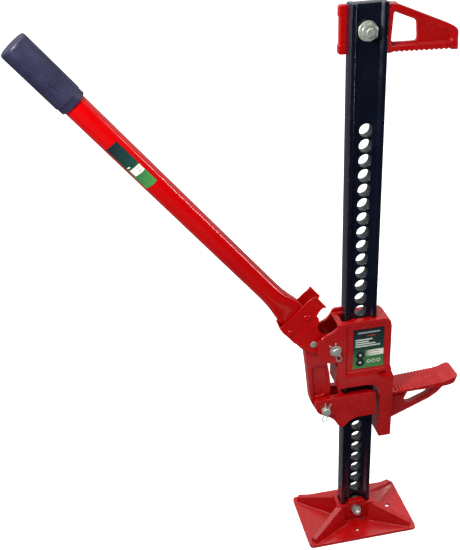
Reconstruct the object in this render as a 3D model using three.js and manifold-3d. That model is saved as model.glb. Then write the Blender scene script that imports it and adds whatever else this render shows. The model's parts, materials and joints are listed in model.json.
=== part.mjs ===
// Farm (rack) jack: a drilled I-section rack standing on a base plate, a large runner with a
// lifting toe, a small runner, and a lever handle that walks both runners along the rack.
// Millimetres, +Z up, +X towards the toe, -Y towards the side with the nuts and clips.
import * as THREE from "three";
import * as BufferGeometryUtils from "three/addons/utils/BufferGeometryUtils.js";
import { ConvexGeometry } from "three/addons/geometries/ConvexGeometry.js";
import Module from "manifold-3d";

const wasm = await Module();
wasm.setup();

// Driving dimensions.
const PITCH = 21; // spacing of the rack's holes
const FIRST_HOLE = 26; // height of the lowest hole, which takes the base bolt
const LADDER_HOLES = 32;
const CLAMP_BOLT = { x: -2, z: 804.5, r: 5.5 };
const HOLE_R = 9;
const BASE_BOLT_R = 4;
const RACK = { halfW: 23.6, halfT: 11, web: 7.5, groove: 15, rim: 18.5, bottom: 6, top: 838 };
const GAP = 0.3; // gap between pieces that rest on each other
const SLIDE = 0.7; // running clearance between the rack and both runners
const BODY = { halfT: 21, left: -37, right: 45, bottom: 280, top: 393, ears: 16.2 };
const PANEL = { face: 19.6, floor: 18.3, left: -25, foot: 298, low: 306, high: 386 }; // the label's frame
const COLUMN = { left: 31, right: 51, bottom: 177, top: 290 };
const NOSE = { front: -19.5, back: 22, tip: 160, lip: 267.3, halfRib: 5, halfKeel: 1.5, keel: 9 };
const BACK_RECESS = 1.6;
const MAIN_PIN = { x: -41.4, z: 350.3, r: 6.5 };
const LOWER_PIN = { x: -55.2, z: 244.1, r: 6.5 };
const HANDLE_TILT = THREE.MathUtils.degToRad(-38.25);
const TOP_PIVOT = { x: -16.8, z: 28.7, r: 4.5 }; // in the handle's own frame
const TUBE_X = -8.9; // the handle tube's axis, in the handle's own frame
const TUBE_R = 15.5;
const TUBE_TOP = 560;
const GRIP = { start: 515, step: 524, end: 612, r: 19.2, collar: 18.3 };
const SHEET = { inner: 11.4, outer: 13.4 }; // the handle socket's two side plates
const LIP = { from: 27, r: 8, turn: THREE.MathUtils.degToRad(40), straight: 4 }; // where they splay out
const RIVETS = [[4, 72], [-29, 70]]; // through socket and tube, in the handle's own frame
const RIVET_R = 3;
const UPPER_CLIMB = FIRST_HOLE + 15 * PITCH;
const LOWER_CLIMB = FIRST_HOLE + 10 * PITCH;
const CLIMB_R = 8;
const BARREL = { r: 13, bore: 8.4, end: 40 };
const TAIL = { r: 3.4, cross: 57.5, end: 61 }; // the climbing pins' thin rear ends
const LATCH = { y: 33, z: 367, pinR: 3, armIn: 13.6, armOut: 16.8, lugIn: 17.2, lugOut: 22 };
const BASE = { halfL: 90, halfB: 58, edge: 5, towerX: 31, towerY: 17, towerZ: 38, tongueZ: 45 };
const SEAT_Y = 13.4; // where the base bolt's washers seat
const CLAMP = { halfT: 9.5, back: 20, left: -32.5, low: 775, tipLow: 771.5, tip: 118 };
const PIN_REACH = 28; // how far the clevis pins stand out at the front
const SPLIT_PIN_IN = 3.6; // the split pins' distance from those ends
const FAR = 60; // well clear of the part, for cutters

const holeZ = (k) => FIRST_HOLE + k * PITCH;

// Finishes.
const finish = (color, roughness, metalness) => {
  return new THREE.MeshStandardMaterial({ color, roughness, metalness });
};
const RED = finish(0xb80f0c, 0.3, 0.0);
const NAVY = finish(0x0b1020, 0.25, 0.0);
const ZINC = finish(0xa9aca0, 0.35, 1.0);
const SPRING = finish(0x4a4b4e, 0.45, 1.0);
const GRIP_PLASTIC = finish(0x2c2b50, 0.55, 0.0);
const LABEL = finish(0x163a2c, 0.4, 0.0);

// Turns a closed three.js geometry into a solid.
function solid(geometry) {
  geometry.deleteAttribute("normal");
  geometry.deleteAttribute("uv");
  const merged = BufferGeometryUtils.mergeVertices(geometry, 1e-4);
  const index = merged.index.array;
  const kept = [];
  for (let i = 0; i < index.length; i += 3) {
    const [a, b, c] = [index[i], index[i + 1], index[i + 2]];
    if (a !== b && b !== c && c !== a) kept.push(a, b, c);
  }
  const vertProperties = new Float32Array(merged.attributes.position.array);
  const triVerts = new Uint32Array(kept);
  return new wasm.Manifold(new wasm.Mesh({ numProp: 3, vertProperties, triVerts }));
}

const join = (first, ...others) => others.reduce((sum, next) => sum.add(next), first);
const cut = (first, ...others) => others.reduce((rest, next) => rest.subtract(next), first);

function mesh(name, body, material) {
  const data = body.getMesh();
  const geometry = new THREE.BufferGeometry();
  geometry.setAttribute("position", new THREE.BufferAttribute(new Float32Array(data.vertProperties), 3));
  geometry.setIndex(new THREE.BufferAttribute(new Uint32Array(data.triVerts), 1));
  geometry.computeVertexNormals();
  const made = new THREE.Mesh(geometry, material);
  made.name = name;
  return made;
}

// A closed outline through the given corners; a third number rounds its corner.
function outline(corners) {
  const shape = new THREE.Shape();
  corners.forEach(([x, y, radius = 0], i) => {
    const [px, py] = corners[(i + corners.length - 1) % corners.length];
    const [nx, ny] = corners[(i + 1) % corners.length];
    const before = new THREE.Vector2(px - x, py - y);
    const after = new THREE.Vector2(nx - x, ny - y);
    const reach = Math.min(radius, 0.45 * before.length(), 0.45 * after.length());
    before.setLength(reach);
    after.setLength(reach);
    const begin = i === 0 ? "moveTo" : "lineTo";
    shape[begin](x + before.x, y + before.y);
    if (radius > 0) shape.quadraticCurveTo(x, y, x + after.x, y + after.y);
  });
  shape.closePath();
  return shape;
}

const rectangle = (x0, x1, y0, y1, radius = 0) =>
  outline([[x0, y0, radius], [x1, y0, radius], [x1, y1, radius], [x0, y1, radius]]);

// An outline in X and Z, made thick along Y from y0 to y1.
function slab(shape, y0, y1, curveSegments = 3) {
  const geometry = new THREE.ExtrudeGeometry(shape, { depth: y1 - y0, bevelEnabled: false, curveSegments });
  geometry.rotateX(Math.PI / 2);
  geometry.translate(0, y1, 0);
  return solid(geometry);
}

// An outline in X and Y, made tall along Z from z0 to z1.
function post(shape, z0, z1, curveSegments = 3) {
  const geometry = new THREE.ExtrudeGeometry(shape, { depth: z1 - z0, bevelEnabled: false, curveSegments });
  geometry.translate(0, 0, z0);
  return solid(geometry);
}

function box(x0, x1, y0, y1, z0, z1) {
  const geometry = new THREE.BoxGeometry(x1 - x0, y1 - y0, z1 - z0);
  geometry.translate((x0 + x1) / 2, (y0 + y1) / 2, (z0 + z1) / 2);
  return solid(geometry);
}

// A round bar along Y from y0 to y1.
function rod(x, z, r, y0, y1, sides = 20) {
  const geometry = new THREE.CylinderGeometry(r, r, y1 - y0, sides);
  geometry.translate(x, (y0 + y1) / 2, z);
  return solid(geometry);
}

// A round bar along X from x0 to x1.
function crossRod(y, z, r, x0, x1, sides = 16) {
  const geometry = new THREE.CylinderGeometry(r, r, x1 - x0, sides);
  geometry.rotateZ(Math.PI / 2);
  geometry.translate((x0 + x1) / 2, y, z);
  return solid(geometry);
}

// A turning along Y: its profile is a list of [radius, y] that starts and ends on the axis.
function turning(x, z, profile, sides = 18) {
  const geometry = new THREE.LatheGeometry(profile.map(([r, y]) => new THREE.Vector2(r, y)), sides);
  geometry.translate(x, 0, z);
  return solid(geometry);
}

// A hexagon along Y, with the flats across given.
function hexagon(x, z, flats, y0, y1) {
  const geometry = new THREE.CylinderGeometry(flats / Math.sqrt(3), flats / Math.sqrt(3), y1 - y0, 6);
  geometry.translate(x, (y0 + y1) / 2, z);
  return solid(geometry);
}

const hull = (points) => solid(new ConvexGeometry(points.map((p) => new THREE.Vector3(...p))));

// A round wire along a curve.
function wire(curve, r, steps, sides = 6) {
  const section = new THREE.Shape();
  section.absarc(0, 0, r, 0, 2 * Math.PI);
  const options = { steps, extrudePath: curve, curveSegments: sides / 2, bevelEnabled: false };
  return solid(new THREE.ExtrudeGeometry(section, options));
}

class Helix extends THREE.Curve {
  constructor(x, z, r, y0, y1, turns) {
    super();
    Object.assign(this, { x, z, r, y0, y1, turns });
  }
  getPoint(t, target = new THREE.Vector3()) {
    const angle = 2 * Math.PI * this.turns * t;
    const y = this.y0 + (this.y1 - this.y0) * t;
    return target.set(this.x + this.r * Math.cos(angle), y, this.z + this.r * Math.sin(angle));
  }
}

// The rack's cross section in X and Y, grown by the given clearance.
function rackSection(clear) {
  const { halfW, halfT, web, groove, rim } = RACK;
  const [w, t, f] = [halfW + clear, halfT + clear, web + clear];
  const quarter = [[-w, -t, 1.5], [-rim + clear, -t], [-groove + clear, -f]];
  const front = [...quarter, ...quarter.map(([x, y, r = 0]) => [-x, y, r]).reverse()];
  return outline([...front, ...front.map(([x, y, r = 0]) => [-x, -y, r])]);
}

function rackBar() {
  const holes = [];
  for (let k = 0; k < LADDER_HOLES; k += 1) {
    holes.push(rod(0, holeZ(k), k === 0 ? BASE_BOLT_R + GAP : HOLE_R, -RACK.halfT, RACK.halfT, 16));
  }
  holes.push(rod(CLAMP_BOLT.x, CLAMP_BOLT.z, CLAMP_BOLT.r + GAP, -RACK.halfT, RACK.halfT, 16));
  return cut(post(rackSection(0), RACK.bottom, RACK.top), ...holes);
}

// The handle's own frame has its origin on the main pin and its Z along the tube.
function handlePoint({ x, z }) {
  const turned = new THREE.Vector3(x, 0, z).applyAxisAngle(new THREE.Vector3(0, 1, 0), HANDLE_TILT);
  return { x: MAIN_PIN.x + turned.x, z: MAIN_PIN.z + turned.z };
}

// One rib of the base, from a corner of its tower down to a corner of its plate.
function baseRib(sx, sy) {
  const run = new THREE.Vector2(sx * (BASE.halfL - 34), sy * (BASE.halfB - 24));
  const side = new THREE.Vector2(-run.y, run.x).normalize();
  const root = [sx * 25, sy * 12];
  const tip = [sx * (BASE.halfL - 8), sy * (BASE.halfB - 8)];
  const ring = ([x, y], low, high, foot, ridge) => [
    [x + side.x * foot, y + side.y * foot, low],
    [x - side.x * foot, y - side.y * foot, low],
    [x + side.x * ridge, y + side.y * ridge, high],
    [x - side.x * ridge, y - side.y * ridge, high],
  ];
  return hull([...ring(root, 2, BASE.towerZ - 1, 15, 5), ...ring(tip, 2, BASE.edge + 8, 7, 4)]);
}

function basePlate() {
  const { halfL, halfB, edge, towerX, towerY, towerZ, tongueZ } = BASE;
  const plate = post(rectangle(-halfL, halfL, -halfB, halfB, 8), 0, edge);
  const tower = post(rectangle(-towerX, towerX, -towerY, towerY, 4), 2, towerZ);
  const tongue = slab(outline([[-16, 30], [16, 30], [13, tongueZ, 3], [-13, tongueZ, 3]]), -towerY, towerY);
  const ribs = [[-1, -1], [1, -1], [1, 1], [-1, 1]].map(([sx, sy]) => baseRib(sx, sy));
  const socket = post(rackSection(GAP), RACK.bottom - GAP, tongueZ + 1);
  const bolt = rod(0, holeZ(0), BASE_BOLT_R + GAP, -halfB, halfB);
  const nutPockets = [rod(0, holeZ(0), 10.5, -halfB, -SEAT_Y), rod(0, holeZ(0), 10.5, SEAT_Y, halfB)];
  const pegs = [[-5, -39, 3], [61, 2, 4]].map(([x, y, r]) => {
    return post(new THREE.Shape().absarc(x, y, r, 0, 2 * Math.PI), -1, edge + 1, 10);
  });
  return cut(join(plate, tower, tongue, ...ribs), socket, bolt, ...nutPockets, ...pegs);
}

const washer = (x, z, r, bore, y0, y1) => cut(rod(x, z, r, y0, y1), rod(x, z, bore, y0 - 1, y1 + 1));

const boltWithHead = (x, z, r, flats, headY, headEnd, tip) =>
  join(hexagon(x, z, flats, headY, headEnd), rod(x, z, r, tip, headY + 1));

const nut = (x, z, bore, flats, y0, y1) => cut(hexagon(x, z, flats, y0, y1), rod(x, z, bore, y0 - 1, y1 + 1));

// The toe's side outline, from the rack out to its tip; inset draws the same outline smaller.
function clampToe() {
  const { low, tipLow, tip } = CLAMP;
  const edge = [[22, low], [30, low]];
  const slope = (tipLow - low) / (tip - 24);
  const teeth = 12;
  const toothPitch = 6.6;
  for (let i = 0; i < teeth; i += 1) {
    const x = 30 + i * toothPitch;
    const z = low + slope * (x - 24);
    edge.push([x + toothPitch * 0.35, z + 2], [x + toothPitch * 0.65, z + 2], [x + toothPitch, z]);
  }
  return outline([...edge, [tip, tipLow], [tip - 1, 797, 5], [109, 802.5, 3], [34, 834.5, 5], [22, 835]]);
}

function topClamp() {
  const { halfT, back, left } = CLAMP;
  const toe = slab(clampToe(), -halfT, halfT);
  const collar = slab(rectangle(left, 40, 773, 834, 3), 2, back);
  const waist = box(left - 1, left + 1.2, 0, back + 1, 785, 820);
  const channel = post(rackSection(GAP), 760, 840);
  const leftGate = box(left - 1, 0, -30, RACK.halfT + GAP, 760, 850);
  const trim = box(26, 50, halfT, back + 1, 760, 850);
  const window = slab(outline([[31, 786.5, 4], [66, 785.5, 5], [64, 811, 4], [31, 825, 4]]), -30, 30);
  const pocket = outline([[28, 783, 3], [109, 782, 3], [110, 794, 4], [31, 826.5, 4]]);
  const pockets = [slab(pocket, -30, -3), slab(pocket, 3, 30)];
  const bolt = rod(CLAMP_BOLT.x, CLAMP_BOLT.z, CLAMP_BOLT.r + GAP, -30, 30);
  return cut(join(toe, collar), channel, leftGate, waist, trim, window, bolt, ...pockets);
}

// Barrel on a runner's back that holds a climbing pin, its spring and its cap.
const barrel = (z) => rod(0, z, BARREL.r, BODY.halfT - 3, BARREL.end, 24);

const climbingBore = (z) => rod(0, z, BARREL.bore, 0, BARREL.end + 5, 24);

function runnerOutline() {
  const { left, right, bottom, top } = BODY;
  const c = COLUMN;
  return outline([
    [left, bottom, 2], [12, bottom, 8], [26.5, 274, 6], [c.left, 261, 6], [c.left, c.bottom],
    [c.right, c.bottom, 2], [c.right, c.top, 3], [right, 309, 8], [right, top, 14], [left, top, 3],
  ]);
}

// The ear outline beside the handle, hung on the body's left side.
const earOutline = (peak) => outline([
  [-20, peak], [-34, peak, 3], [-41, 384, 8], [-56, 377.5, 8], [-66, 372, 9], [-69.5, 354, 12],
  [-63, 333, 9], [-50, 329, 6], [-36, 327], [-20, 327],
]);

const noseTop = (x) => 258 + (x - 50) * 0.05;

// The toe's ridged plate, with its raised lip.
function nosePlate() {
  const { front, back, tip, lip } = NOSE;
  const side = outline([
    [44, 247], [53, 253.3, 3], [125, 253], [138, 252.8, 4], [148, 254.5, 5], [tip, 261, 3],
    [tip, lip, 3], [151, lip, 3], [141, noseTop(141), 6], [44, noseTop(44)],
  ]);
  const grooves = [];
  for (let i = 0; i < 17; i += 1) {
    const x = 56 + i * 4.6;
    const z = noseTop(x) - 1.7;
    grooves.push(slab(outline([[x, z], [x + 2, z], [x + 3, z + 4], [x - 1, z + 4]]), front - 1, back + 1));
  }
  const corners = [[front, -9], [back, 4]].map(([y, reach]) => {
    const out = y + Math.sign(y);
    const length = Math.abs(reach);
    return post(outline([[tip - length, out], [tip + 1, out], [tip + 1, y - reach]]), 240, 280);
  });
  return cut(slab(side, front, back, 5), ...grooves, ...corners);
}

// The rib below the plate: flat sides that run in to a narrow keel.
function noseRib() {
  const { halfRib, halfKeel, keel } = NOSE;
  const low = [[44, 189], [58, 194.4], [91, 208.2], [120.4, 220.6], [133.4, 229.4], [144, 240.6]];
  const points = low.flatMap(([x, z]) => [
    [x, -halfKeel, z], [x, halfKeel, z], [x, -halfRib, z + keel], [x, halfRib, z + keel],
  ]);
  return hull([...points, [44, -halfRib, 255], [44, halfRib, 255], [148, -halfRib, 255], [148, halfRib, 255]]);
}

function noseBulge() {
  const geometry = new THREE.SphereGeometry(1, 14, 8);
  geometry.scale(24, 13, 9);
  geometry.translate(60, 0, 241);
  return solid(geometry);
}

function nose() {
  const window = outline([
    [76, 228, 3], [81, 221, 3], [88, 221.5, 2], [113, 231.5, 4], [125, 241, 3], [127, 246, 3], [84, 247, 4],
  ]);
  return join(cut(join(noseRib(), noseBulge()), slab(window, -16, 16)), nosePlate());
}

// The frame round the label: a shallow step in from the ear and the skirt, and the label's own recess.
function panelCuts() {
  const { halfT, right, top } = BODY;
  const { face, floor, left, foot, low, high } = PANEL;
  const step = hull(
    [-1, 1].flatMap((side) => {
      const x = side < 0 ? left : right + 1;
      return [[x, -halfT - 1, foot - 4], [x, -face, low - 2], [x, -face, top + 1], [x, -halfT - 1, top + 1]];
    }),
  );
  const recess = slab(rectangle(-23, 37.5, low, high, 3), -30, -floor);
  return [step, recess];
}

// The wedge that leaves a sloping ledge on top of the column, beside the gusset.
function ledgeCut() {
  const out = -BODY.halfT - 2;
  const ends = [COLUMN.left, COLUMN.right + 1].flatMap((x) => [[x, out, 286], [x, -16.5, 298.5], [x, out, 302]]);
  return hull([[20, out, PANEL.foot], ...ends]);
}

function gusset() {
  const y = -BODY.halfT;
  return hull([
    [39, y + 2, 313], [45, y + 2, 313], [39, y + 4, 287], [47, y + 4, 287], [39, y - 3, 288], [47, y - 3, 288],
    [40, y + 5, 313], [47, y + 5, 287],
  ]);
}

function largeRunner() {
  const { halfT, top, ears } = BODY;
  const body = slab(runnerOutline(), -halfT, halfT);
  const frontEar = slab(earOutline(top), -halfT, -ears);
  const backEar = slab(earOutline(399), ears, halfT);
  const rackSide = -RACK.halfW - SLIDE;
  const handleRoom = box(-80, rackSide, -ears, ears, 318, 388);
  const topRoom = box(rackSide - 4.3, rackSide + 1, -RACK.halfT - SLIDE, RACK.halfT + SLIDE, 383, 400);
  const channel = post(rackSection(SLIDE), 100, 420);
  const backRecess = slab(rectangle(-31, 38, 290, 386, 4), halfT - BACK_RECESS, 30);
  const pin = rod(MAIN_PIN.x, MAIN_PIN.z, MAIN_PIN.r + GAP, -30, 30);
  const lugs = [-1, 1].map((side) => latchLug(side));
  const plain = cut(join(body, frontEar, backEar), ...panelCuts(), ledgeCut(), backRecess);
  const cast = join(plain, gusset(), nose(), barrel(UPPER_CLIMB), ...lugs);
  const latchBore = crossRod(LATCH.y, LATCH.z, LATCH.pinR + GAP, -40, 40);
  return cut(cast, channel, handleRoom, topRoom, pin, climbingBore(UPPER_CLIMB), latchBore);
}

// An outline in Y and Z, made wide along X from x0 to x1.
function sidePlate(corners, x0, x1) {
  const options = { depth: x1 - x0, bevelEnabled: false, curveSegments: 3 };
  const geometry = new THREE.ExtrudeGeometry(outline(corners), options);
  geometry.rotateX(Math.PI / 2);
  geometry.rotateZ(Math.PI / 2);
  geometry.translate(x0, 0, 0);
  return solid(geometry);
}

function latchLug(side) {
  const corners = [[18, 357], [33, 359, 6], [40, 367, 6], [33, 374, 6], [18, 376]];
  const [near, far] = [side * LATCH.lugIn, side * LATCH.lugOut];
  return sidePlate(corners, Math.min(near, far), Math.max(near, far));
}

// A fork that straddles the upper barrel, with a thumb tab across its rear end.
function reversingLatch() {
  const { y, z, pinR, armIn, armOut } = LATCH;
  const arm = [[27, 361, 4], [40, 358, 6], [66, 344, 3], [71, 346, 2], [70, 353, 3], [42, 371, 6], [28, 373, 5]];
  const arms = [sidePlate(arm, armIn, armOut), sidePlate(arm, -armOut, -armIn)];
  const tab = sidePlate([[66.5, 338, 2], [71, 337, 2], [71.5, 350, 1], [67, 352, 1]], -armOut, armOut);
  return cut(join(...arms, tab), crossRod(y, z, pinR + GAP, -30, 30));
}

function smallRunner() {
  const shape = outline([
    [-71, 262, 4], [-71, 248, 8], [-66, 238, 8], [-54, 232, 8], [-42, 224, 8], [-34, 209, 3], [-27, 204.5, 3],
    [-15, 217, 6], [-4, 221, 3], [25, 221, 2], [25, 264, 6], [-40, 264, 3],
  ]);
  const body = slab(shape, -20, 20);
  const channel = post(rackSection(SLIDE), 190, 280);
  const linkRoom = box(-80, -RACK.halfW - 6, -10.3, 10.3, 190, 280);
  const pin = rod(LOWER_PIN.x, LOWER_PIN.z, LOWER_PIN.r + GAP, -30, 30);
  return cut(join(body, barrel(LOWER_CLIMB)), channel, linkRoom, pin, climbingBore(LOWER_CLIMB));
}

// The link from the small runner to the handle. Its upper eye is long, so that the handle's pin can
// wander in it while the small runner follows in proportion.
function pitman() {
  const link = outline([
    [-69, 242, 6], [-75, 254, 8], [-77, 276, 10], [-80, 312, 12], [-84, 350, 10], [-81, 376, 8],
    [-62, 376, 8], [-57.5, 364, 6], [-57.5, 346, 6], [-50, 326, 10], [-46, 302, 8], [-44.3, 284, 8],
    [-44.3, 260, 8], [-46, 240, 8], [-54, 232, 8], [-64, 234, 6],
  ]);
  const half = 9.6;
  const recess = outline([
    [-71, 264, 5], [-54, 264, 9], [-49, 284, 9], [-52, 318, 10], [-74, 320, 9], [-71, 276, 8],
  ]);
  const recesses = [slab(recess, -20, -half + 3), slab(recess, half - 3, 20)];
  const pivot = handlePoint(TOP_PIVOT);
  const eye = slab(rectangle(pivot.x - 5.5, pivot.x + 12.2, pivot.z - 16, pivot.z + 10.3, 5), -20, 20);
  const pin = rod(LOWER_PIN.x, LOWER_PIN.z, LOWER_PIN.r + GAP, -20, 20);
  return cut(slab(link, -half, half), ...recesses, eye, pin);
}

// A plain round pin along Y, with a thin head at the back and a cross hole for its split pin.
function clevisPin(at, tilt) {
  const seat = BODY.halfT + GAP;
  const profile = [
    [0, -PIN_REACH], [at.r - 1, -PIN_REACH], [at.r, -PIN_REACH + 1], [at.r, seat],
    [at.r + 3, seat], [at.r + 3, seat + 2.7], [at.r + 1.5, seat + 3.7], [0, seat + 3.7],
  ];
  const hole = new THREE.CylinderGeometry(2.5, 2.5, 40, 12);
  hole.rotateX(Math.PI / 2);
  hole.rotateY(tilt);
  hole.translate(at.x, SPLIT_PIN_IN - PIN_REACH, at.z);
  return cut(turning(at.x, at.z, profile), solid(hole));
}

// A split pin through a clevis pin: an eye below, and two legs that spread above.
function splitPin(at, tilt) {
  const gap = 1.05;
  const path = [
    [-5, 15], [-2.6, 9], [-gap, 5], [-gap, 0], [-gap, -6], [-3.2, -10], [-3.4, -15], [0, -18.5],
    [3.4, -15], [3.2, -10], [gap, -6], [gap, 0], [gap, 5], [2.6, 9], [4.2, 14],
  ];
  const points = path.map(([x, z]) => new THREE.Vector3(x, 0, z));
  const curve = new THREE.CatmullRomCurve3(points, false, "catmullrom", 0.3);
  const geometry = wire(curve, 0.85, 40);
  return { geometry, at: new THREE.Vector3(at.x, SPLIT_PIN_IN - PIN_REACH, at.z), tilt };
}

function placed(name, part, material) {
  const made = mesh(name, part.geometry, material);
  made.position.copy(part.at);
  made.rotation.y = part.tilt;
  return made;
}

function climbingPin(z) {
  const nose = RACK.web + 0.8;
  const shoulder = 24;
  const profile = [
    [0, nose], [CLIMB_R - 2, nose], [CLIMB_R, nose + 2], [CLIMB_R, shoulder], [TAIL.r, shoulder],
    [TAIL.r, TAIL.end], [0, TAIL.end],
  ];
  const cross = crossRod(TAIL.cross, z, 2 + GAP, -20, 20);
  return cut(turning(0, z, profile), cross);
}

const springCap = (z) => washer(0, z, BARREL.bore - GAP, TAIL.r + GAP, 37.5, BARREL.end + 2);
const crossPin = (z) => crossRod(TAIL.cross, z, 2, -12, 12);
const climbingSpring = (z) => wire(new Helix(0, z, 6.1, 28.5, 36, 3.5), 1, 32);

// The side plates' outline, in the handle's own frame.
function socketPlate() {
  return outline([
    [-34.5, 86.5, 4], [14, 90, 6], [24, 91, 5], [40, 89.5], [40, 65.5], [29, 66, 4], [22, 64.5, 3],
    [16, 62, 2], [16.5, 57.5, 2], [14, 54, 2], [4.2, 46, 6], [2.5, 36, 6], [11, 16, 10], [13.5, 0, 9],
    [6, -12, 9], [-12, -10, 9], [-25, 13, 4], [-34, 33, 4], [-36.3, 78, 3],
  ]);
}

// One side plate seen end on: flat, then splayed outward at its free edge. side is -1 or 1.
function splayedSheet(side) {
  const { from, r, turn, straight } = LIP;
  const thick = SHEET.outer - SHEET.inner;
  const centre = SHEET.outer + r;
  const face = (radius) => {
    const points = [[-50, centre - radius]];
    for (let i = 0; i <= 6; i += 1) {
      const a = (turn * i) / 6;
      points.push([from + radius * Math.sin(a), centre - radius * Math.cos(a)]);
    }
    const [x, y] = points[points.length - 1];
    points.push([x + straight * Math.cos(turn), y + straight * Math.sin(turn)]);
    return points;
  };
  const around = [...face(r + thick), ...face(r).reverse()].map(([x, y]) => [x, side * y]);
  return post(outline(side < 0 ? around.reverse() : around), -20, 100);
}

const rivetHoles = () => RIVETS.map(([x, z]) => rod(x, z, RIVET_R + GAP, -20, 20, 16));

function handleSocket() {
  const { outer } = SHEET;
  const blank = slab(socketPlate(), -FAR, FAR);
  const sides = [-1, 1].map((side) => splayedSheet(side).intersect(blank));
  const web = slab(outline([[-36, 50, 1], [-33.6, 48, 1], [-33.2, 85.8], [-35.4, 85.8]]), -outer + 1, outer - 1);
  const pivot = rod(0, 0, MAIN_PIN.r + GAP, -FAR, FAR);
  const top = rod(TOP_PIVOT.x, TOP_PIVOT.z, TOP_PIVOT.r + GAP, -FAR, FAR);
  return cut(join(...sides, web), pivot, top, ...rivetHoles());
}

// A closed skin through elliptical rings along the tube: each station is [z, half width in X, half width in Y].
function ovalTube(stations, sides) {
  const positions = [];
  const index = [];
  stations.forEach(([z, rx, ry]) => {
    for (let i = 0; i < sides; i += 1) {
      const a = (2 * Math.PI * i) / sides;
      positions.push(TUBE_X + rx * Math.cos(a), ry * Math.sin(a), z);
    }
  });
  for (let s = 0; s + 1 < stations.length; s += 1) {
    for (let i = 0; i < sides; i += 1) {
      const [a, b] = [s * sides + i, s * sides + ((i + 1) % sides)];
      index.push(a, b, b + sides, a, b + sides, a + sides);
    }
  }
  const last = (stations.length - 1) * sides;
  for (let i = 1; i + 1 < sides; i += 1) index.push(0, i + 1, i, last, last + i, last + i + 1);
  const geometry = new THREE.BufferGeometry();
  geometry.setAttribute("position", new THREE.Float32BufferAttribute(positions, 3));
  geometry.setIndex(index);
  return solid(geometry);
}

// The handle tube, round above and pressed flat where it enters the socket.
function handleTube() {
  const stations = [
    [52, 19.5, 10.6], [92, 20.5, 10.6], [110, 18, 12.9], [130, 15.9, 15], [146, TUBE_R, TUBE_R],
    [TUBE_TOP, TUBE_R, TUBE_R],
  ];
  const hollow = new THREE.CylinderGeometry(TUBE_R - 2, TUBE_R - 2, 440, 24);
  hollow.rotateX(Math.PI / 2);
  hollow.translate(TUBE_X, 0, 400);
  return cut(ovalTube(stations, 24), ...rivetHoles(), solid(hollow));
}

function handleGrip() {
  const { start, step, end, r, collar } = GRIP;
  const bore = TUBE_R + GAP;
  const seat = TUBE_TOP + 1;
  const profile = [
    [bore, start], [collar, start], [collar, step - 1], [r, step + 1], [r, end - 3], [r - 0.8, end - 1],
    [r - 3, end], [0, end], [0, seat], [bore, seat], [bore, start],
  ];
  const geometry = new THREE.LatheGeometry(profile.map(([x, y]) => new THREE.Vector2(x, y)), 32);
  geometry.rotateX(Math.PI / 2);
  geometry.translate(TUBE_X, 0, 0);
  return solid(geometry);
}

// A domed head at each end of a plain shank, as [radius, y] from end to end.
function headedProfile(shank, head, seat, end) {
  const half = [[0, end], [head * 0.47, end - 0.3], [head * 0.83, end - 1.3], [head, seat], [shank, seat]];
  return [...half.map(([r, y]) => [r, -y]), ...half.reverse()];
}

const rivet = (x, z) => turning(x, z, headedProfile(RIVET_R, 4.8, SHEET.outer + GAP, 16.4), 16);
const pivotPin = ({ x, z, r }) => turning(x, z, headedProfile(r, 5.2, SHEET.outer + GAP, 15.9));

function frameGroup() {
  const group = new THREE.Group();
  const baseZ = holeZ(0);
  const { x: clampX, z: clampZ, r: clampR } = CLAMP_BOLT;
  group.add(mesh("rack_bar", rackBar(), NAVY));
  group.add(mesh("base_plate", basePlate(), RED));
  group.add(mesh("base_bolt", boltWithHead(0, baseZ, BASE_BOLT_R, 13, 15.6, 21, -27), ZINC));
  group.add(mesh("base_washer_back", washer(0, baseZ, 8, 4.4, SEAT_Y + GAP, SEAT_Y + 1.9), ZINC));
  group.add(mesh("base_washer_front", washer(0, baseZ, 8, 4.4, -SEAT_Y - 1.9, -SEAT_Y - GAP), ZINC));
  group.add(mesh("base_nut", nut(0, baseZ, 4.4, 13, -22, -SEAT_Y - 2.2), ZINC));
  group.add(mesh("top_clamp", topClamp(), RED));
  group.add(mesh("top_clamp_bolt", boltWithHead(clampX, clampZ, clampR, 20, 20.3, 27, -20.5), ZINC));
  group.add(mesh("top_clamp_washer", washer(clampX, clampZ, 12.5, 5.9, -9.3, -7.8), ZINC));
  group.add(mesh("top_clamp_nut", nut(clampX, clampZ, 5.9, 20, -17.5, -9.6), ZINC));
  return group;
}

// A climbing pin with its spring, cap and cross pin; prefix starts their names.
function climbingSet(group, prefix, z) {
  group.add(mesh(`${prefix}_spring_cap`, springCap(z), ZINC));
  group.add(mesh(`${prefix}_pin_spring`, climbingSpring(z), SPRING));
  group.add(mesh(`${prefix}_climbing_pin`, climbingPin(z), ZINC));
  group.add(mesh(`${prefix}_cross_pin`, crossPin(z), ZINC));
}

function upperGroup() {
  const group = new THREE.Group();
  const tilt = -0.35;
  const label = slab(rectangle(-13.5, 33.5, 311, 379, 0.5), -PANEL.floor - 0.7, -PANEL.floor - 0.2);
  group.add(mesh("large_runner", largeRunner(), RED));
  group.add(mesh("runner_label", label, LABEL));
  group.add(mesh("main_pin", clevisPin(MAIN_PIN, tilt), ZINC));
  group.add(placed("main_pin_split_pin", splitPin(MAIN_PIN, tilt), ZINC));
  group.add(mesh("main_pin_washer", washer(MAIN_PIN.x, MAIN_PIN.z, 10, 7, -22.6, -21.3), ZINC));
  climbingSet(group, "upper", UPPER_CLIMB);
  group.add(mesh("reversing_latch", reversingLatch(), RED));
  group.add(mesh("latch_pivot", crossRod(LATCH.y, LATCH.z, LATCH.pinR, -26, 26), ZINC));
  return group;
}

function lowerGroup() {
  const group = new THREE.Group();
  const tilt = 0.2;
  group.add(mesh("small_runner", smallRunner(), RED));
  group.add(mesh("lower_pin", clevisPin(LOWER_PIN, tilt), ZINC));
  group.add(placed("lower_pin_split_pin", splitPin(LOWER_PIN, tilt), ZINC));
  climbingSet(group, "lower", LOWER_CLIMB);
  group.add(mesh("pitman", pitman(), RED));
  return group;
}

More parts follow.
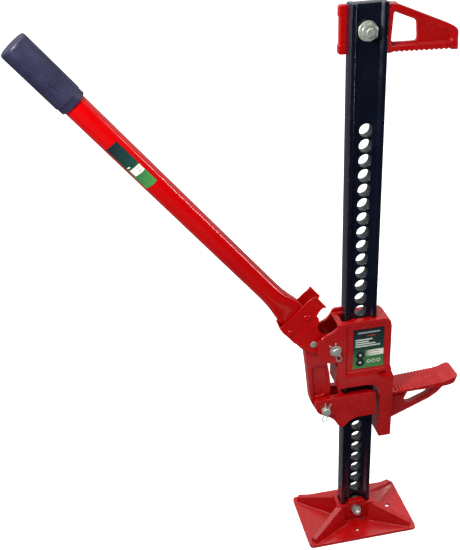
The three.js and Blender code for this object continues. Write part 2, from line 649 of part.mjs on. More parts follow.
function handleGroup() {
  const group = new THREE.Group();
  group.position.set(MAIN_PIN.x, 0, MAIN_PIN.z);
  group.rotation.y = HANDLE_TILT;
  group.add(mesh("handle_socket", handleSocket(), RED));
  group.add(mesh("handle_tube", handleTube(), RED));
  group.add(mesh("handle_grip", handleGrip(), GRIP_PLASTIC));
  RIVETS.forEach(([x, z], i) => group.add(mesh(`socket_rivet_${i + 1}`, rivet(x, z), RED)));
  group.add(mesh("pitman_pivot_pin", pivotPin(TOP_PIVOT), ZINC));
  return group;
}

const jack = new THREE.Group();
jack.add(frameGroup(), upperGroup(), lowerGroup(), handleGroup());

export default jack;
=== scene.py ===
"""Looks for the farm jack: red enamelled castings on a blue-black holed bar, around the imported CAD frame."""
import json
import math

import bmesh
import bpy
from mathutils import Matrix, Vector


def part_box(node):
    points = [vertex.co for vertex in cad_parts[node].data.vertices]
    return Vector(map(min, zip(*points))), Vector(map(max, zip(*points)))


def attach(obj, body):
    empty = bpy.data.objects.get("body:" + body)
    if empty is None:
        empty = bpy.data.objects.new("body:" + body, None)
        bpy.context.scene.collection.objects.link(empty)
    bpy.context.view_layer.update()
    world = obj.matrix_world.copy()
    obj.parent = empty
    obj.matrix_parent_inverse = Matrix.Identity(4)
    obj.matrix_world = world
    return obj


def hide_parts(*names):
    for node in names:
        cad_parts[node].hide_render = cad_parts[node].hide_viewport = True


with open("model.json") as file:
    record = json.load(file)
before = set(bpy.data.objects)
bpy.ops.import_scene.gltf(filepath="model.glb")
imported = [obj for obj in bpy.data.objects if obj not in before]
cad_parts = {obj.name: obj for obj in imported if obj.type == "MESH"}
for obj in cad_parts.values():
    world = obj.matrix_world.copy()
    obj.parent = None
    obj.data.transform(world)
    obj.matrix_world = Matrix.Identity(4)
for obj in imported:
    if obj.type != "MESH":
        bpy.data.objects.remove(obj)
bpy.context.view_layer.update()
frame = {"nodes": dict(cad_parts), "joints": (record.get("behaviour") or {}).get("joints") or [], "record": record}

MM = 0.001
RECORD = frame["record"]
BODY_OF = {n: body for body, nodes in RECORD["behaviour"]["bodies"].items() for n in nodes}
SLOT_OF = {entry["node"]: entry["material_slot"] for entry in RECORD["subparts"]}
JOINT_AT = {j["name"]: Vector(j["pos_m"]) for j in frame["joints"] if "pos_m" in j}

# The camera, in metres and degrees.
CAMERA_AT = (-0.358013, -1.004434, 1.040866)
CAMERA_TURN = -9.7515
CAMERA_TILT = -28.3529
CAMERA_ROLL = -3.0114
LENS = 55.022
SENSOR = 36.0
SHIFT = (-0.00287, -0.00408)

# The handle's own frame has its origin on the main pin and its Z along the tube, whose axis and radius are
# in millimetres.
HANDLE_TILT = math.radians(-38.25)
HANDLE = Matrix.Translation(JOINT_AT["handle_pivot"]) @ Matrix.Rotation(HANDLE_TILT, 4, "Y")
TUBE_X = -8.9
TUBE_R = 15.5


# Node materials.

def material(name, **sockets):
    """A new Principled material, its tree and its shader, with constant sockets set."""
    made = bpy.data.materials.new(name)
    made.use_nodes = True
    shader = made.node_tree.nodes["Principled BSDF"]
    for key, value in sockets.items():
        shader.inputs[key.replace("_", " ")].default_value = value
    return made, made.node_tree, shader


def node(tree, kind, links=(), **settings):
    """A new node: settings are its properties or input values, links are (input, output socket) pairs."""
    made = tree.nodes.new(kind)
    for key, value in settings.items():
        if hasattr(made, key):
            setattr(made, key, value)
        else:
            made.inputs[key.replace("_", " ")].default_value = value
    for socket, source in links:
        tree.links.new(source, made.inputs[socket])
    return made


def place(tree):
    return node(tree, "ShaderNodeTexCoord").outputs["Object"]


def noise(tree, scale, detail=4.0, roughness=0.55, at=None):
    made = node(tree, "ShaderNodeTexNoise", [("Vector", at or place(tree))], Scale=scale, Detail=detail)
    made.inputs["Roughness"].default_value = roughness
    return made.outputs["Fac"]


def span(tree, value, low, high, to_low, to_high):
    """value, from low..high to to_low..to_high, clamped."""
    made = node(tree, "ShaderNodeMapRange", [("Value", value)])
    for socket, number in (("From Min", low), ("From Max", high), ("To Min", to_low), ("To Max", to_high)):
        made.inputs[socket].default_value = number
    return made.outputs["Result"]


def maths(tree, operation, first, second):
    made = node(tree, "ShaderNodeMath", operation=operation)
    for socket, value in zip(made.inputs, (first, second)):
        if isinstance(value, (int, float)):
            socket.default_value = value
        else:
            tree.links.new(value, socket)
    return made.outputs["Value"]


def blend_colour(tree, share, first, second, mode="MIX"):
    made = node(tree, "ShaderNodeMix", data_type="RGBA", blend_type=mode, clamp_result=True)
    for socket, value in ((made.inputs[0], share), (made.inputs[6], first), (made.inputs[7], second)):
        if isinstance(value, (int, float, tuple)):
            socket.default_value = value
        else:
            tree.links.new(value, socket)
    return made.outputs[2]


def bump(tree, shader, *layers):
    """Bump from (height, strength, distance) layers, coarse ones first."""
    normal = None
    for height, strength, distance in layers:
        made = node(tree, "ShaderNodeBump", [("Height", height)], Strength=strength, Distance=distance)
        if normal is not None:
            tree.links.new(normal, made.inputs["Normal"])
        normal = made.outputs["Normal"]
    tree.links.new(normal, shader.inputs["Normal"])
    return normal


def edges(tree, low=0.56, high=0.7):
    """From 0 on flats to 1 along outer edges."""
    pointiness = node(tree, "ShaderNodeNewGeometry").outputs["Pointiness"]
    return span(tree, pointiness, low, high, 0.0, 1.0)


def hollows(tree, low=0.47, high=0.38):
    """From 0 on flats to 1 along inner corners."""
    pointiness = node(tree, "ShaderNodeNewGeometry").outputs["Pointiness"]
    return span(tree, pointiness, low, high, 0.0, 1.0)


def enamel(name, colours, grain, lumps, rough):
    """Gloss enamel: pooled and thin stretches, painted edge highlight, painted corner shade, and the metal's skin
    below.
    """
    deep, bright, edge_highlight_colour = colours
    made, tree, shader = material(name, Coat_Weight=0.4, Coat_Roughness=0.08, IOR=1.42)
    cloud = noise(tree, 18.0, 5.0)
    colour = blend_colour(tree, span(tree, cloud, 0.35, 0.65, 0.0, 1.0), deep, bright)
    speck = span(tree, noise(tree, 420.0, 3.0), 0.56, 0.72, 0.0, 0.18)
    colour = blend_colour(tree, speck, colour, deep)
    patchy = span(tree, noise(tree, 150.0, 6.0), 0.42, 0.62, 0.15, 0.75)
    # Painted highlight: outer edges take a paler colour, in patches, standing for light caught on rounded edges.
    painted_edge_highlight = maths(tree, "MULTIPLY", edges(tree), patchy)
    colour = blend_colour(tree, painted_edge_highlight, colour, edge_highlight_colour)
    # Painted shade: inner corners are darkened towards a third of the deep colour, and made a little rougher.
    shaded_corners = maths(tree, "MULTIPLY", hollows(tree), 0.55)
    colour = blend_colour(tree, shaded_corners, colour, tuple(c * 0.35 for c in deep[:3]) + (1.0,))
    tree.links.new(colour, shader.inputs["Base Color"])
    patches = span(tree, noise(tree, 60.0, 6.0), 0.3, 0.7, rough[0], rough[1])
    dulled = maths(tree, "ADD", patches, maths(tree, "MULTIPLY", shaded_corners, 0.35))
    tree.links.new(dulled, shader.inputs["Roughness"])
    bump(
        tree, shader,
        (noise(tree, 90.0, 2.0), lumps, 0.0006),
        (noise(tree, 420.0, 3.0), grain, 0.0003),
        (noise(tree, 1500.0, 2.0), grain, 0.0001),
    )
    return made


def plated(name, colour, tint, rough, metal):
    """Plated steel: patchy passivation, fine scratches and dull spots."""
    made, tree, shader = material(name, Metallic=metal)
    patch = span(tree, noise(tree, 130.0, 4.0), 0.4, 0.62, 0.0, 1.0)
    stain = span(tree, noise(tree, 600.0, 3.0), 0.5, 0.75, 0.0, 0.35)
    mixed = blend_colour(tree, patch, colour, tint)
    mixed = blend_colour(tree, stain, mixed, tuple(c * 0.4 for c in tint[:3]) + (1.0,))
    tree.links.new(mixed, shader.inputs["Base Color"])
    scratches = noise(tree, 900.0, 3.0)
    dull = span(tree, noise(tree, 240.0, 5.0), 0.3, 0.7, rough[0], rough[1])
    tree.links.new(dull, shader.inputs["Roughness"])
    bump(tree, shader, (scratches, 0.25, 0.00008))
    return made


def grip_plastic():
    """Blue-black moulded plastic, scuffed pale along its flutes."""
    made, tree, shader = material("grip_plastic", IOR=1.45)
    cloud = span(tree, noise(tree, 45.0, 4.0), 0.35, 0.65, 0.0, 1.0)
    colour = blend_colour(tree, cloud, (0.009, 0.009, 0.027, 1.0), (0.015, 0.0145, 0.042, 1.0))
    patchy = span(tree, noise(tree, 200.0, 5.0), 0.45, 0.6, 0.0, 0.5)
    scuff = maths(tree, "MULTIPLY", edges(tree, 0.51, 0.6), patchy)
    colour = blend_colour(tree, scuff, colour, (0.09, 0.09, 0.16, 1.0))
    tree.links.new(colour, shader.inputs["Base Color"])
    tree.links.new(span(tree, noise(tree, 80.0, 5.0), 0.3, 0.7, 0.36, 0.55), shader.inputs["Roughness"])
    bump(tree, shader, (noise(tree, 1200.0, 3.0), 0.05, 0.0002))
    return made


def label_film(name, origin, across, up, discs=True):
    """A printed label: dark head, cream strip and green foot, with pale rules and two dark discs if asked."""
    made, tree, shader = material(name, Coat_Weight=0.3, Coat_Roughness=0.15)
    offset = node(tree, "ShaderNodeVectorMath", [(0, place(tree))], operation="SUBTRACT")
    offset.inputs[1].default_value = origin

    def along(axis):
        dot = node(tree, "ShaderNodeVectorMath", [(0, offset.outputs["Vector"])], operation="DOT_PRODUCT")
        dot.inputs[1].default_value = tuple(axis / axis.length_squared)
        return dot.outputs["Value"]

    u, v = along(across), along(up)
    ramp = node(tree, "ShaderNodeValToRGB", [("Fac", v)])
    stops = ramp.color_ramp.elements
    stops[0].position, stops[0].color = 0.0, (0.05, 0.24, 0.05, 1.0)
    stops[1].position, stops[1].color = 1.0, (0.008, 0.014, 0.024, 1.0)
    for position, colour in ((0.3, (0.03, 0.16, 0.05, 1.0)), (0.5, (0.008, 0.05, 0.035, 1.0))):
        stop = stops.new(position)
        stop.color = colour
    colour = ramp.outputs["Color"]

    def between(value, low, high):
        above, below = maths(tree, "GREATER_THAN", value, low), maths(tree, "LESS_THAN", value, high)
        return maths(tree, "MULTIPLY", above, below)

    def band(low_u, high_u, low_v, high_v):
        return maths(tree, "MULTIPLY", between(u, low_u, high_u), between(v, low_v, high_v))

    def disc(centre_u, centre_v, radius):
        du = maths(tree, "MULTIPLY", maths(tree, "SUBTRACT", u, centre_u), across.length)
        dv = maths(tree, "MULTIPLY", maths(tree, "SUBTRACT", v, centre_v), up.length)
        square = maths(tree, "ADD", maths(tree, "POWER", du, 2.0), maths(tree, "POWER", dv, 2.0))
        return maths(tree, "LESS_THAN", square, radius * radius)

    pale = (0.62, 0.68, 0.6, 1.0)
    cream = (0.8, 0.78, 0.66, 1.0)
    dark = (0.01, 0.016, 0.02, 1.0)
    strip = (0.38, 0.62) if discs else (0.05, 0.1)
    fade = span(tree, u, *strip, 0.0, 1.0)
    colour = blend_colour(tree, maths(tree, "MULTIPLY", band(strip[0], 1.0, 0.3, 0.45), fade), colour, cream)
    rules = ((0.72, 0.62), (0.665, 0.5), (0.61, 0.72), (0.555, 0.88)) if discs else ((0.49, 0.3),)
    for low_v, end_u in rules:
        colour = blend_colour(tree, band(0.07, end_u, low_v, low_v + 0.03), colour, pale)
    if discs:
        colour = blend_colour(tree, band(0.45, 0.72, 0.81, 0.835), colour, (0.45, 0.03, 0.03, 1.0))
        colour = blend_colour(tree, band(0.14, 0.86, 0.89, 0.93), colour, (0.3, 0.32, 0.34, 1.0))
    for low_v in (0.34, 0.4):
        colour = blend_colour(tree, band(0.56, 0.86, low_v, low_v + 0.012), colour, dark)
    for centre_v in (0.34, 0.15) if discs else ():
        ring = disc(0.24, centre_v, 0.1 * up.length)
        colour = blend_colour(tree, ring, colour, dark)
        colour = blend_colour(tree, disc(0.24, centre_v, 0.028 * up.length), colour, pale)
    for centre_u in (0.52, 0.68, 0.84) if discs else ():
        colour = blend_colour(tree, disc(centre_u, 0.16, 0.045 * up.length), colour, pale)
        colour = blend_colour(tree, disc(centre_u, 0.16, 0.028 * up.length), colour, (0.04, 0.2, 0.05, 1.0))
    tree.links.new(colour, shader.inputs["Base Color"])
    tree.links.new(span(tree, noise(tree, 140.0, 4.0), 0.3, 0.7, 0.25, 0.4), shader.inputs["Roughness"])
    bump(tree, shader, (noise(tree, 300.0, 2.0), 0.1, 0.0001))
    return made


# Deep and bright colours of each enamel, and the paler colour painted on its edges as painted highlight.
EDGE_HIGHLIGHT_RED = (0.55, 0.012, 0.012, 1.0)
CAST_REDS = ((0.39, 0.0006, 0.0012, 1.0), (0.45, 0.0009, 0.0016, 1.0), EDGE_HIGHLIGHT_RED)
SHEET_REDS = ((0.42, 0.0006, 0.0012, 1.0), (0.47, 0.0009, 0.0016, 1.0), EDGE_HIGHLIGHT_RED)
# The navy's pale grey third colour is painted highlight along the bar's edges and hole rims.
NAVIES = ((0.003, 0.0045, 0.011, 1.0), (0.0045, 0.0065, 0.0155, 1.0), (0.07, 0.075, 0.09, 1.0))

CAST_RED = enamel("cast_red_enamel", CAST_REDS, 0.06, 0.035, (0.2, 0.32))
SHEET_RED = enamel("sheet_red_enamel", SHEET_REDS, 0.01, 0.004, (0.13, 0.2))
NAVY = enamel("navy_enamel", NAVIES, 0.06, 0.1, (0.16, 0.3))
ZINC = plated("zinc_plate", (0.66, 0.68, 0.64, 1.0), (0.52, 0.55, 0.47, 1.0), (0.22, 0.4), 0.6)
SPRING = plated("spring_wire", (0.2, 0.2, 0.21, 1.0), (0.12, 0.12, 0.13, 1.0), (0.3, 0.5), 0.9)
GRIP = grip_plastic()

MATERIAL_OF = {
    "red_enamel_casting": CAST_RED,
    "red_enamel_steel": SHEET_RED,
    "rack_enamel": NAVY,
    "zinc_steel": ZINC,
    "spring_steel": SPRING,
    "grip_plastic": GRIP,
}


# Mesh making.

def new_piece(name, mesh):
    made = bpy.data.objects.new(name, mesh)
    bpy.context.scene.collection.objects.link(made)
    return made


def stand_in(piece, cad_node):
    """piece takes the place, the body, the finish slot and the material of a CAD node."""
    piece.data.materials.clear()
    piece.data.materials.append(MATERIAL_OF[SLOT_OF[cad_node]])
    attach(piece, BODY_OF[cad_node])
    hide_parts(cad_node)
    return piece


def apply_modifiers(piece):
    graph = bpy.context.evaluated_depsgraph_get()
    made = bpy.data.meshes.new_from_object(piece.evaluated_get(graph))
    old = piece.data
    piece.modifiers.clear()
    piece.data = made
    bpy.data.meshes.remove(old)
    return piece


def shade(piece, sharp_degrees=None):
    """Smooth shading, with edges sharper than the given angle kept crisp."""
    for face in piece.data.polygons:
        face.use_smooth = True
    if sharp_degrees is not None:
        piece.data.set_sharp_from_angle(angle=math.radians(sharp_degrees))
    return piece


def copied(cad_node, name):
    """A copy of a CAD node's mesh, with its corners joined."""
    mesh = frame["nodes"][cad_node].data.copy()
    bm = bmesh.new()
    bm.from_mesh(mesh)
    bmesh.ops.remove_doubles(bm, verts=bm.verts, dist=0.002 * MM)
    bm.to_mesh(mesh)
    bm.free()
    mesh.materials.clear()
    return new_piece(name, mesh)


def cast(cad_node, voxel=0.7 * MM, rounds=4, keep=0.4, filler=None, reshape=None):
    """A casting: the CAD solid with every edge and corner run soft, as sand moulds leave them."""
    piece = copied(cad_node, cad_node + "_casting")
    if filler:
        merged(piece, filler)
    remesh = piece.modifiers.new("skin", "REMESH")
    remesh.mode = "VOXEL"
    remesh.voxel_size = voxel
    if reshape:
        reshape(apply_modifiers(piece).data)
    soften = piece.modifiers.new("soften", "SMOOTH")
    soften.factor = 0.5
    soften.iterations = rounds
    thin = piece.modifiers.new("thin", "DECIMATE")
    thin.ratio = keep
    apply_modifiers(piece)
    shade(piece)
    return stand_in(piece, cad_node)


TOE_FROM, TOE_TO = 54.5, 136.5
TOE_FRONT, TOE_BACK = -19.45, 21.95


def toe_top(x):
    """The height of the toe's top, which rises a little towards its tip."""
    return 258.0 + (x - 50.0) * 0.05


def toe_filler():
    """A block level with the toe's top: it fills the CAD grooves before the true ridges are pressed."""
    rings = []
    for x in (TOE_FROM, TOE_TO):
        high = toe_top(x)
        low = high - 3
        rings.append([(x, TOE_FRONT, low), (x, TOE_BACK, low), (x, TOE_BACK, high), (x, TOE_FRONT, high)])
    ends = [[tuple(sum(c) / 4 for c in zip(*ring))] for ring in rings]
    return skin("toe_filler", [ends[0], *rings, ends[1]])


def ridged_toe(mesh):
    """Press the grip ridges into the toe's top, with a small step at the mould's parting line."""
    pitch, first, depth = 5.22, 60.2, 2.0
    spots = [(vertex, vertex.co / MM, vertex.normal.z) for vertex in mesh.vertices]
    for vertex, spot, rise in spots:
        top = toe_top(spot.x)
        if not (TOE_FROM < spot.x < TOE_TO and -22 < spot.y < 24 and top - 2.3 < spot.z < top + 0.6):
            continue
        shift = first + 0.7 * min(max((spot.y - 0.5) / 2, 0.0), 1.0)
        valley = (0.5 - 0.5 * math.cos(2 * math.pi * (spot.x - shift) / pitch)) ** 1.3
        fade = min((spot.x - TOE_FROM) / 2, (TOE_TO - spot.x) / 2, 1.0)
        level = top - depth * valley * fade
        vertex.co.z = (level if rise > 0.25 else min(spot.z, level)) * MM


def along_y(x, z):
    """The frame of a turning whose own Z lies along world Y, at x and z in millimetres."""
    return Matrix.Translation((x * MM, 0, z * MM)) @ Matrix.Rotation(-math.pi / 2, 4, "X")


def along_x(y, z):
    return Matrix.Translation((0, y * MM, z * MM)) @ Matrix.Rotation(math.pi / 2, 4, "Y")


def handle_y(x, z):
    """As along_y, in the handle's own frame."""
    return HANDLE @ along_y(x, z)


def skin(name, rings, frame_at=Matrix(), sharp=35, closed=False):
    """A skin through rings of points in millimetres, all of one count; a ring of one point is a pole."""
    bm = bmesh.new()
    made = [[bm.verts.new(Vector(p) * MM) for p in ring] for ring in rings]
    pairs = list(zip(made, made[1:]))
    if closed:
        pairs.append((made[-1], made[0]))
    count = max(len(ring) for ring in made)
    for low, high in pairs:
        for i in range(count):
            j = (i + 1) % count
            corners = [low[i % len(low)], low[j % len(low)], high[j % len(high)], high[i % len(high)]]
            unique = list(dict.fromkeys(corners))
            if len(unique) > 2:
                bm.faces.new(unique)
    bm.transform(frame_at)
    bmesh.ops.recalc_face_normals(bm, faces=bm.faces)
    mesh = bpy.data.meshes.new(name)
    bm.to_mesh(mesh)
    bm.free()
    return shade(new_piece(name, mesh), sharp)


def spin(name, frame_at, profile, flats=None, segments=60, sharp=35):
    """A turning from (radius, height) pairs; flats cuts it to a hexagon, and a bore closes its profile."""
    rings = []
    bored = profile[0][0] > 0
    for radius, height in profile:
        if radius == 0:
            rings.append([(0, 0, height)])
            continue
        ring = []
        for i in range(segments):
            a = 2 * math.pi * i / segments
            r = radius
            if flats:
                r = min(r, flats / 2 / math.cos((a + math.pi / 6) % (math.pi / 3) - math.pi / 6))
            ring.append((r * math.cos(a), r * math.sin(a), height))
        rings.append(ring)
    return skin(name, rings, frame_at, sharp, bored)


def soft_washer(name, frame_at, r, bore, low, high):
    ease = 0.35
    profile = [
        (bore, low + ease), (bore + ease, low), (r - ease, low), (r, low + ease),
        (r, high - ease), (r - ease, high), (bore + ease, high), (bore, high - ease),
    ]
    return spin(name, frame_at, profile)


def chamfered(radius, corner, low, high, both=True):
    """The outer profile of a hexagon whose ends are turned down to radius: from low to high."""
    steps = 5
    slope = 0.577
    gain = corner - radius
    rise = [(radius + gain * i / steps, low + gain * slope * i / steps) for i in range(steps + 1)]
    fall = [(r, high - (h - low)) for r, h in reversed(rise)]
    return rise + (fall if both else [(corner, high)])


def hex_nut(name, frame_at, bore, flats, low, high):
    corner = flats / math.sqrt(3) + 0.05
    ease = 0.6
    outer = chamfered(flats / 2 * 0.97, corner, low, high)
    profile = [(bore, low + ease), (bore + ease, low), *outer, (bore + ease, high), (bore, high - ease)]
    return spin(name, frame_at, profile, flats)


def threaded(r, low, high, pitch=1.25, depth=0.45):
    """A bolt's tip: a chamfer, then thread crests and roots from low to high."""
    profile = [(0, low), (r - 1, low), (r - depth, low + 0.6)]
    height = low + 0.9
    while height < high:
        profile += [(r, height + pitch * 0.4), (r, height + pitch * 0.55), (r - depth, height + pitch * 0.95)]
        height += pitch
    return profile


def bolt(name, frame_at, r, flats, tip, seat, end):
    """A hexagon bolt along the frame's Z: thread, plain shank, and a chamfered head from seat to end."""
    shank = spin(name, frame_at, [*threaded(r, tip, tip + 9), (r, tip + 10), (r, seat + 1), (0, seat + 1)])
    corner = flats / math.sqrt(3) + 0.05
    rim = flats / 2 * 0.97
    crown = reversed(chamfered(rim, corner, seat, end, False)[:-1])
    outer = [(corner, seat + 0.3), *[(a, seat + end - b) for a, b in crown]]
    profile = [(0, seat), (rim, seat), *outer, (rim - 1.2, end - 0.25), (0, end - 0.25)]
    head = spin(name + "_head", frame_at, profile, flats)
    return merged(shank, head)


def merged(first, *others):
    """One piece out of several meshes that stand for one part."""
    bm = bmesh.new()
    for piece in (first, *others):
        bm.from_mesh(piece.data)
    bm.to_mesh(first.data)
    bm.free()
    for piece in others:
        mesh = piece.data
        bpy.data.objects.remove(piece)
        bpy.data.meshes.remove(mesh)
    return shade(first, 35)


def drilled(piece, *cutters):
    """piece with the cutters' volumes taken out of it."""
    for cutter in cutters:
        hole = piece.modifiers.new("hole", "BOOLEAN")
        hole.object = cutter
        hole.operation = "DIFFERENCE"
        hole.solver = "EXACT"
    apply_modifiers(piece)
    for cutter in cutters:
        mesh = cutter.data
        bpy.data.objects.remove(cutter)
        bpy.data.meshes.remove(mesh)
    return piece


def drill(frame_at, radius, segments):
    """A cutter long enough to go right through any piece here."""
    return spin("drill", frame_at, [(0, -20), (radius, -20), (radius, 20), (0, 20)], None, segments)


def rounded_edges(piece, width, degrees):
    bevel = piece.modifiers.new("edges", "BEVEL")
    bevel.width = width * MM
    bevel.segments = 3
    bevel.limit_method = "ANGLE"
    bevel.angle_limit = math.radians(degrees)
    bevel.use_clamp_overlap = True
    return apply_modifiers(piece)


def smooth_path(points, steps=8, ease=0.3):
    """Points in millimetres joined by easy curves, as a list of Vectors."""
    points = [Vector(p) for p in points]
    made = []
    last = len(points) - 1
    for i in range(last):
        before, after = points[max(i - 1, 0)], points[min(i + 2, last)]
        start, end = (points[i + 1] - before) * ease, (after - points[i]) * ease
        for step in range(steps):
            t = step / steps
            to_here, to_start = 2 * t**3 - 3 * t**2 + 1, t**3 - 2 * t**2 + t
            to_next, to_end = 3 * t**2 - 2 * t**3, t**3 - t**2
            made.append(to_here * points[i] + to_start * start + to_next * points[i + 1] + to_end * end)
    return made + [points[-1]]


def wire(name, path, radius, frame_at=Matrix(), sides=12):
    """A round wire along a path in millimetres, with domed ends."""
    rings = []
    normal = Vector((0, 1, 0))
    count = len(path)
    directions = [(path[min(i + 1, count - 1)] - path[max(i - 1, 0)]).normalized() for i in range(count)]
    for point, direction in zip(path, directions):
        normal = (normal - normal.dot(direction) * direction).normalized()
        side = direction.cross(normal)
        turn = [2 * math.pi * i / sides for i in range(sides)]
        rings.append([point + radius * (math.cos(a) * normal + math.sin(a) * side) for a in turn])
    tips = []
    for ring, point, out in ((rings[0], path[0], -directions[0]), (rings[-1], path[-1], directions[-1])):
        dome = [point + out * radius * 0.6 + (p - point) * 0.7 for p in ring]
        tips.append((dome, [point + out * radius * 0.85]))
    return skin(name, [tips[0][1], tips[0][0], *rings, tips[1][0], tips[1][1]], frame_at, 60)


# The pieces.

PITCH = 21.0
FIRST_HOLE = 26.0
LADDER_HOLES = 32
CLAMP_BOLT = (-2.0, 804.5)
MAIN_PIN = (-41.4, 350.3)
LOWER_PIN = (-55.2, 244.1)
TOP_PIVOT = (-16.8, 28.7)
RIVETS = ((4.0, 72.0), (-29.0, 70.0))
SHEET_OUT = 13.4
UPPER_CLIMB = FIRST_HOLE + 15 * PITCH
LOWER_CLIMB = FIRST_HOLE + 10 * PITCH


def hole_z(k):
    return FIRST_HOLE + k * PITCH


def rack_bar():
    """The grooved bar, with eased edges and rolled rims round its holes."""
    quarter = [(-23.6, -11.0), (-18.5, -11.0), (-15.0, -7.5)]
    front = quarter + [(-x, y) for x, y in reversed(quarter)]
    section = front + [(-x, -y) for x, y in front]
    bm = bmesh.new()
    bottom = [bm.verts.new((x * MM, y * MM, 6 * MM)) for x, y in section]
    top = [bm.verts.new((x * MM, y * MM, 838 * MM)) for x, y in section]
    bm.faces.new(bottom)
    bm.faces.new(top)
    for i in range(len(section)):
        j = (i + 1) % len(section)
        bm.faces.new([bottom[i], bottom[j], top[j], top[i]])
    bmesh.ops.recalc_face_normals(bm, faces=bm.faces)
    mesh = bpy.data.meshes.new("rack_bar_rolled")
    bm.to_mesh(mesh)
    bm.free()
    bar = new_piece("rack_bar_rolled", mesh)
    holes = [(0, hole_z(0), 4.3), (*CLAMP_BOLT, 5.8)] + [(0, hole_z(k), 9.0) for k in range(1, LADDER_HOLES)]
    drilled(bar, merged(*[drill(along_y(x, z), r, 40) for x, z, r in holes]))
    rounded_edges(bar, 0.8, 30)
    return stand_in(shade(bar, 40), "rack_bar")


def superellipse(rx, ry, power, sides):
    ring = []
    for i in range(sides):
        a = 2 * math.pi * i / sides
        c, s = math.cos(a), math.sin(a)
        x = rx * math.copysign(abs(c) ** (2 / power), c)
        y = ry * math.copysign(abs(s) ** (2 / power), s)
        ring.append((x, y))
    return ring


def handle_tube():
    """Round above and pressed flat where it enters the socket: stations of height, half widths, squareness."""
    stations = [
        (52, 19.5, 10.6, 3.4), (72, 20.1, 10.6, 3.4), (92, 20.5, 10.6, 3.2), (101, 19.6, 11.5, 2.8),
        (110, 18.0, 12.9, 2.5), (120, 16.7, 14.2, 2.2), (130, 15.9, 15.1, 2.05), (146, TUBE_R, TUBE_R, 2.0),
        (170, TUBE_R, TUBE_R, 2.0),
    ]
    path = smooth_path([Vector(s[:3]) for s in stations], 4, 0.5)
    powers = smooth_path([Vector((s[3], 0, 0)) for s in stations], 4, 0.5)
    straight = [(z, TUBE_R, TUBE_R, 2.0) for z in range(200, 561, 24)]
    outer = [(p.x, p.y, p.z, q.x) for p, q in zip(path, powers)] + straight
    wall = 2.0
    ease = 0.5
    low = outer[0]
    rings = [(low[0], low[1] - ease, low[2] - ease, low[3]), (low[0] + ease, *low[1:]), *outer[1:]]
    inner = [(z, rx - wall, ry - wall, power) for z, rx, ry, power in reversed(outer)]
    sides = 72
    placed = []
    for z, rx, ry, power in rings + inner:
        placed.append([(TUBE_X + x, y, z) for x, y in superellipse(rx, ry, power, sides)])
    tube = skin("handle_tube_rolled", placed, HANDLE, 50, True)
    return stand_in(tube, "handle_tube")


def handle_grip():
    """A moulded sleeve: a plain collar, fine flutes but for one plain side, and an eased flat end."""
    flutes = 60
    sides = flutes * 6
    bore = TUBE_R + 0.3
    flute_depth, plain_middle = 0.5, math.radians(150)
    profile = [
        (bore, 515.4, 0), (bore + 0.6, 515.0, 0), (17.9, 515.0, 0), (18.2, 515.3, 0), (18.3, 516.0, 0),
        (18.3, 522.8, 0), (18.5, 523.6, 0), (19.0, 524.3, 0), (19.2, 525.4, 0), (19.2, 526.5, 1),
        (19.2, 550.0, 1), (19.2, 580.0, 1), (19.2, 606.5, 1), (19.2, 608.0, 0.3), (19.1, 609.3, 0),
        (18.7, 610.6, 0), (17.9, 611.5, 0), (16.6, 611.95, 0), (13.0, 612.0, 0), (0, 612.0, 0),
        (0, 561.5, 0), (bore, 561.5, 0),
    ]
    rings = []
    for radius, height, fluted in profile:
        if radius == 0:
            rings.append([(TUBE_X, 0, height)])
            continue
        ring = []
        for i in range(sides):
            a = 2 * math.pi * i / sides
            plain = max(math.cos(a - plain_middle), 0.0) ** 2 > 0.42
            cut = 0.0 if plain else flute_depth * fluted * (0.5 - 0.5 * math.cos(flutes * a)) ** 2
            ring.append((TUBE_X + (radius - cut) * math.cos(a), -(radius - cut) * math.sin(a), height))
        rings.append(ring)
    poles = [i for i, ring in enumerate(rings) if len(ring) == 1]
    rings = rings[poles[1]:] + rings[: poles[0] + 1]
    return stand_in(skin("handle_grip_moulded", rings, HANDLE, 60), "handle_grip")


def handle_socket():
    """The pressed socket: soft edges, and a joggle that sets its lower half out by a millimetre."""
    piece = cast("handle_socket", 0.55 * MM, 5, 0.4)
    back = HANDLE.inverted()
    sheet_inside, step_at, step_length, left, above, outwards = 10.9, 57.5, 1.6, -35.0, 60.0, 1.0
    for vertex in piece.data.vertices:
        spot = back @ vertex.co / MM
        if abs(spot.y) < sheet_inside or spot.z > above or spot.x < left:
            continue
        share = min(max((step_at - spot.z) / step_length, 0.0), 1.0)
        ease = share * share * (3 - 2 * share) * min(max((spot.x - left) / 3, 0.0), 1.0)
        spot.y += math.copysign(outwards * ease, spot.y)
        vertex.co = HANDLE @ (spot * MM)
    return piece


def domed(shank, head, seat, end):
    """Half of a headed pin's profile, from its middle to the top of its dome."""
    steps = 6
    rise = end - seat
    dome = []
    for i in range(steps + 1):
        a = math.pi / 2 * i / steps
        dome.append((head * math.cos(a) if i < steps else 0, seat + rise * (0.25 + 0.75 * math.sin(a))))
    return [(shank, seat), (head - 0.3, seat), *dome]


def two_headed(name, cad_node, frame_at, shank, head, seat, end):
    half = domed(shank, head, seat, end)
    profile = [(r, -h) for r, h in reversed(half)] + half
    return stand_in(spin(name, frame_at, profile, None, 40), cad_node)


def across_pin(at, tilt):
    """The frame of the split pin through a clevis pin's tip."""
    return Matrix.Translation((at[0] * MM, -24.4 * MM, at[1] * MM)) @ Matrix.Rotation(tilt, 4, "Y")


def clevis_pin(cad_node, at, tilt):
    """A headed pin with an eased tip, drilled for its split pin."""
    seat = 21.3
    profile = [
        (0, -28), (4.9, -28), (5.6, -27.8), (6.3, -27.1), (6.5, -26.6), (6.5, seat), (9.1, seat),
        (9.5, seat + 0.4), (9.5, seat + 2.4), (9.0, seat + 3.1), (7.6, seat + 3.7), (0, seat + 3.7),
    ]
    pin = spin(cad_node + "_turned", along_y(*at), profile, None, 48)
    drilled(pin, drill(across_pin(at, tilt), 2.3, 24))
    return stand_in(shade(pin, 35), cad_node)


